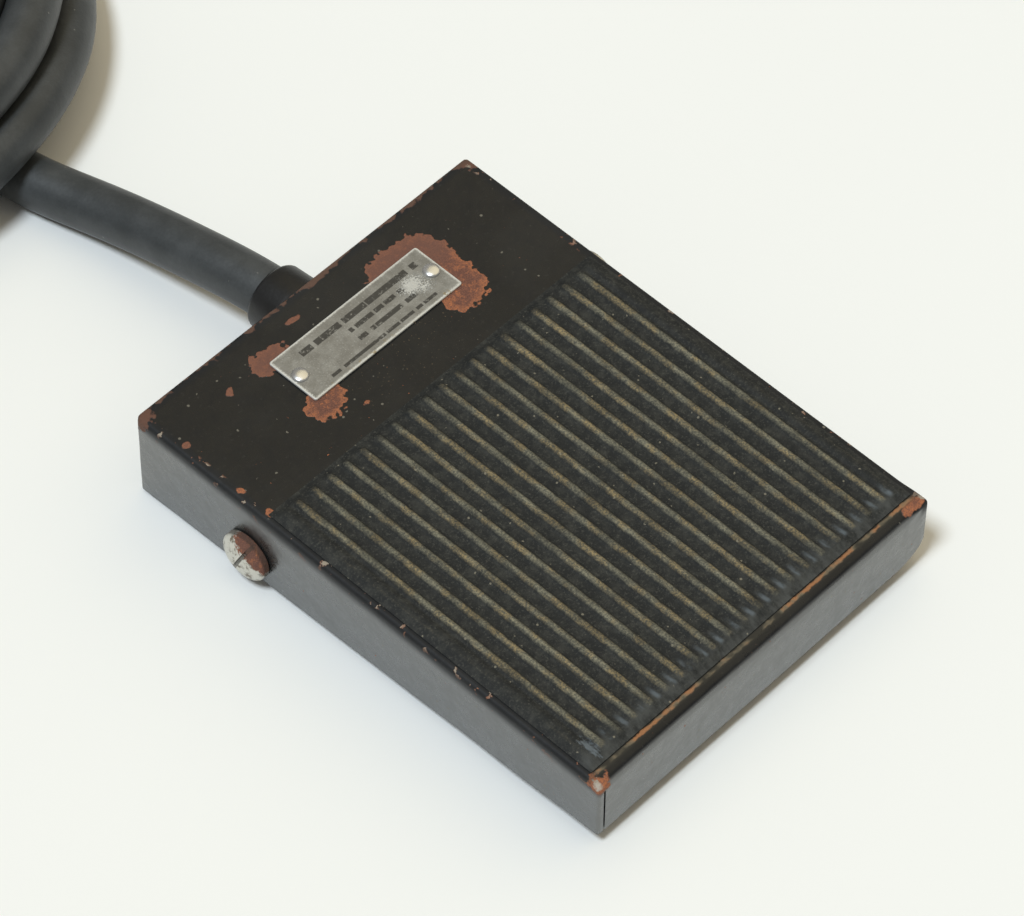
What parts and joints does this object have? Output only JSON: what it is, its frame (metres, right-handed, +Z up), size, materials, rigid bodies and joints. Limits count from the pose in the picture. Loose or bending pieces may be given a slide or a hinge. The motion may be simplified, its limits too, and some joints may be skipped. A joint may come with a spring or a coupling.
{
  "type": "treadle foot switch",
  "caption": "Low pressed-steel treadle foot switch with a ribbed rubber tread, a side pivot bolt, an inner snap switch, and a rubber mains cord coiled behind it.",
  "frame": {"origin": "centre of the foot switch's own footprint, on the surface it stands on; the cord, its coil and plug are left out of that centre", "axes": "+Z up, +Y to the rear, where the cord leaves, +X to the right of a user whose toes point to the rear"},
  "size_m": [0.1425, 0.3313, 0.034],
  "materials": {
    "black_enamel": "worn semi-gloss black enamel, rust where it is chipped",
    "mat_rubber": "aged black rubber with tan dust on its ribs",
    "plate_aluminium": "scratched and stained satin aluminium",
    "zinc_plated": "dull zinc plate with rust spots",
    "bare_steel": "bare cold-rolled steel",
    "spring_steel": "oiled spring steel",
    "foot_rubber": "matte black moulded rubber",
    "cord_rubber": "smooth black rubber jacket, slightly chalky",
    "tie_rubber": "matte black rubber strap",
    "phenolic": "dark brown phenolic moulding",
    "nylon": "ivory nylon",
    "brass": "dull plain brass",
    "wire_black": "black wire insulation",
    "wire_white": "white wire insulation",
    "wire_green": "green wire insulation"
  },
  "bodies": {
    "base": {"base_pan": "black_enamel", "foot_front_left": "foot_rubber", "foot_front_right": "foot_rubber", "foot_rear_left": "foot_rubber", "foot_rear_right": "foot_rubber", "stop_bumper_left": "foot_rubber", "stop_bumper_right": "foot_rubber", "pivot_bolt": "zinc_plated", "pivot_spacer": "bare_steel", "pivot_washer": "zinc_plated", "pivot_locknut": "zinc_plated", "return_spring": "spring_steel", "spring_guide_post": "zinc_plated", "switch_case": "phenolic", "switch_screw_left": "zinc_plated", "switch_screw_right": "zinc_plated", "clamp_screw_left": "zinc_plated", "clamp_screw_right": "zinc_plated", "switch_terminal_common": "brass", "switch_terminal_closed": "brass", "switch_terminal_open": "brass", "crimp_connector_common": "brass", "crimp_connector_open": "brass", "wire_common": "wire_black", "wire_open": "wire_white", "wire_ground": "wire_green", "ground_lug": "brass", "ground_screw": "brass", "cord_bushing": "foot_rubber", "cord_jacket_end": "cord_rubber", "cord_clamp": "bare_steel", "cord_run": "cord_rubber", "cord_coil": "cord_rubber", "coil_tie": "tie_rubber", "cord_tail": "cord_rubber", "plug_body": "cord_rubber", "plug_blade_front": "brass", "plug_blade_back": "brass", "plug_ground_pin": "brass"},
    "treadle": {"treadle_cover": "black_enamel", "tread_mat": "mat_rubber", "nameplate": "plate_aluminium", "nameplate_pin_left": "zinc_plated", "nameplate_pin_right": "zinc_plated", "actuator_leaf": "spring_steel", "actuator_button": "nylon"},
    "plunger": {"switch_plunger": "nylon"}
  },
  "joints": [
    {"name": "treadle_hinge", "type": "hinge", "parent": "base", "child": "treadle", "pos_m": [-0.0014, 0.0272, 0.0073], "axis": [1, 0, 0], "range_deg": [0, 2.1], "stiffness_Nm_per_rad": 7.2, "springref_deg": -4.76, "deforming": ["return_spring"]},
    {"name": "plunger_slide", "type": "slide", "parent": "base", "child": "plunger", "axis": [0, 0, 1], "range_m": [-0.0012, 0]}
  ],
  "couplings": [
    {"joint": "plunger_slide", "follows": "treadle_hinge", "m_per_rad": -0.0302}
  ]
}
